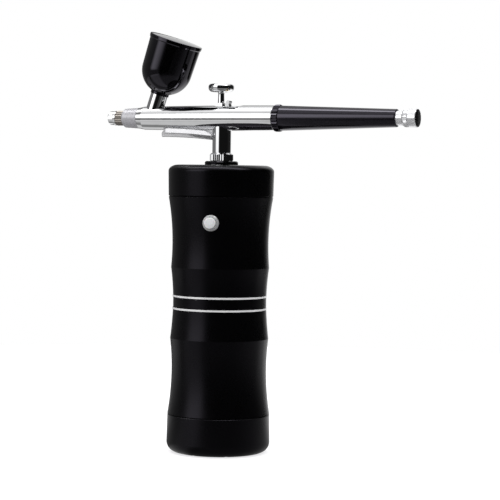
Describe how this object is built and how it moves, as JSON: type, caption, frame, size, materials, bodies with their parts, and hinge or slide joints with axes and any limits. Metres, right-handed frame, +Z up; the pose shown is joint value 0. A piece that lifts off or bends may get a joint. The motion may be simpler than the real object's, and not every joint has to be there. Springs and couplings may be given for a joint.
{
  "type": "airbrush compressor",
  "caption": "Handheld cordless airbrush compressor: waisted round housing with a diaphragm pump and batteries, carrying a gravity-feed dual-action airbrush with paint cup and trigger.",
  "frame": {"origin": "centre of the foot pad's resting face, on the compressor's axis", "axes": "+Z up along the compressor; the airbrush lies along X with its nozzle towards -X and its tail towards +X; the power button faces -Y, turned 13.2 degrees about +Z"},
  "size_m": [0.142, 0.046, 0.1808],
  "materials": {
    "black_shell": "black anodised, satin",
    "bright_trim": "bright plated ring",
    "band": "black, fine circular brushing",
    "rubber": "matt moulded",
    "plain_steel": "plain",
    "black_plastic": "fine moulded",
    "white_button": "satin white",
    "bezel": "turned, satin",
    "circuit_board": "solder mask",
    "cell_wrap": "shrink wrap",
    "nickel": "plain strip",
    "motor_steel": "zinc plated",
    "copper_core": "laminated core and winding",
    "pump_plastic": "natural moulded",
    "silicone": "translucent",
    "brass": "turned",
    "black_collar": "black anodised, gloss",
    "chrome": "mirror chrome plate",
    "dark_nozzle": "dark nickel plate",
    "gloss_black": "gloss black anodised",
    "seal": "PTFE"
  },
  "bodies": {
    "housing": {"top_cap": "black_shell", "upper_shell": "black_shell", "upper_trim_ring": "bright_trim", "center_band": "band", "lower_trim_ring": "bright_trim", "lower_shell": "black_shell", "base_cap": "black_shell", "foot_pad": "rubber", "base_screws": "plain_steel", "usb_port": "plain_steel", "battery_cells": "cell_wrap", "battery_holder": "black_plastic", "battery_contacts": "nickel", "charge_board": "circuit_board", "control_board": "circuit_board", "tact_switch": "black_plastic", "button_bezel": "bezel", "motor_mount": "rubber", "motor_can": "motor_steel", "motor_end_cap": "black_plastic", "pump_case": "pump_plastic", "diaphragm_set": "rubber", "valve_plate": "pump_plastic", "pump_head": "pump_plastic", "pump_screws": "plain_steel", "outlet_tube": "silicone", "outlet_socket": "brass", "socket_oring": "rubber", "outlet_collar": "black_collar"},
    "power_button": {"power_button": "white_button"},
    "usb_cover": {"usb_cover": "black_plastic"},
    "motor_rotor": {"motor_shaft": "plain_steel", "motor_rotor": "copper_core", "eccentric_cam": "pump_plastic"},
    "wobble_plate": {"wobble_plate": "pump_plastic"},
    "airbrush": {"airbrush_body": "chrome", "spray_head": "chrome", "nozzle": "plain_steel", "nozzle_cap": "dark_nozzle", "needle_cap": "chrome", "cup_neck": "chrome", "paint_cup": "gloss_black", "needle_packing": "seal", "spring_guide": "brass", "needle_spring": "plain_steel", "valve_stem": "chrome", "valve_seat_screw": "brass", "valve_spring": "plain_steel", "finger_rest": "chrome", "handle": "gloss_black"},
    "lock_nut": {"lock_nut": "chrome"},
    "cup_lid": {"cup_lid": "gloss_black"},
    "valve_plunger": {"valve_plunger": "plain_steel"},
    "trigger": {"trigger": "chrome"},
    "auxiliary_lever": {"auxiliary_lever": "plain_steel"},
    "needle": {"needle": "plain_steel", "chuck_tube": "brass", "chuck_nut": "brass"},
    "preset_stem": {"preset_stem": "chrome"},
    "preset_knob": {"preset_knob": "chrome"}
  },
  "joints": [
    {"name": "airbrush_swivel", "type": "hinge", "parent": "housing", "child": "airbrush", "pos_m": [0, 0, 0.1211], "axis": [0, 0, 1], "continuous": true},
    {"name": "lock_nut_turn", "type": "hinge", "parent": "airbrush", "child": "lock_nut", "pos_m": [0, 0, 0.1267], "axis": [0, 0, 1], "continuous": true},
    {"name": "trigger_press", "type": "slide", "parent": "airbrush", "child": "valve_plunger", "axis": [0, 0, -1], "range_m": [0, 0.0018], "deforming": ["valve_spring"]},
    {"name": "trigger_pull", "type": "hinge", "parent": "valve_plunger", "child": "trigger", "pos_m": [0, 0, 0.1356], "axis": [0, 1, 0], "range_deg": [0, 18]},
    {"name": "auxiliary_lever_tilt", "type": "hinge", "parent": "airbrush", "child": "auxiliary_lever", "pos_m": [0.005, 0, 0.1412], "axis": [0, 1, 0], "range_deg": [0, 31.6]},
    {"name": "needle_slide", "type": "slide", "parent": "airbrush", "child": "needle", "axis": [1, 0, 0], "range_m": [0, 0.00256], "deforming": ["needle_spring"]},
    {"name": "preset_advance", "type": "slide", "parent": "airbrush", "child": "preset_stem", "axis": [1, 0, 0], "range_m": [-0.00225, 0.00056]},
    {"name": "preset_turn", "type": "hinge", "parent": "preset_stem", "child": "preset_knob", "pos_m": [0.084, 0, 0.1434], "axis": [1, 0, 0], "range_deg": [-1081, 271]},
    {"name": "cup_lid_lift", "type": "slide", "parent": "airbrush", "child": "cup_lid", "axis": [0.319, 0, 0.9478], "range_m": [0, 0.02]},
    {"name": "power_button_press", "type": "slide", "parent": "housing", "child": "power_button", "axis": [-0.2284, 0.9736, 0], "range_m": [0, 0.0006]},
    {"name": "motor_spin", "type": "hinge", "parent": "housing", "child": "motor_rotor", "pos_m": [0, 0, 0.0681], "axis": [0, 0, 1], "continuous": true},
    {"name": "wobble_nod", "type": "hinge", "parent": "motor_rotor", "child": "wobble_plate", "pos_m": [0, 0, 0.0923], "axis": [0.1045, 0, 0.9945], "continuous": true},
    {"name": "usb_cover_hinge", "type": "hinge", "parent": "housing", "child": "usb_cover", "pos_m": [0.0011, 0.02157, 0.0115], "axis": [0, 0, -1], "range_deg": [0, 90]}
  ],
  "couplings": [
    {"joint": "auxiliary_lever_tilt", "follows": "trigger_pull", "ratio": 1.75},
    {"joint": "needle_slide", "follows": "trigger_pull", "m_per_rad": 0.008067},
    {"joint": "preset_turn", "follows": "preset_advance", "rad_per_m": 8377.6},
    {"joint": "wobble_nod", "follows": "motor_spin", "ratio": -1}
  ]
}
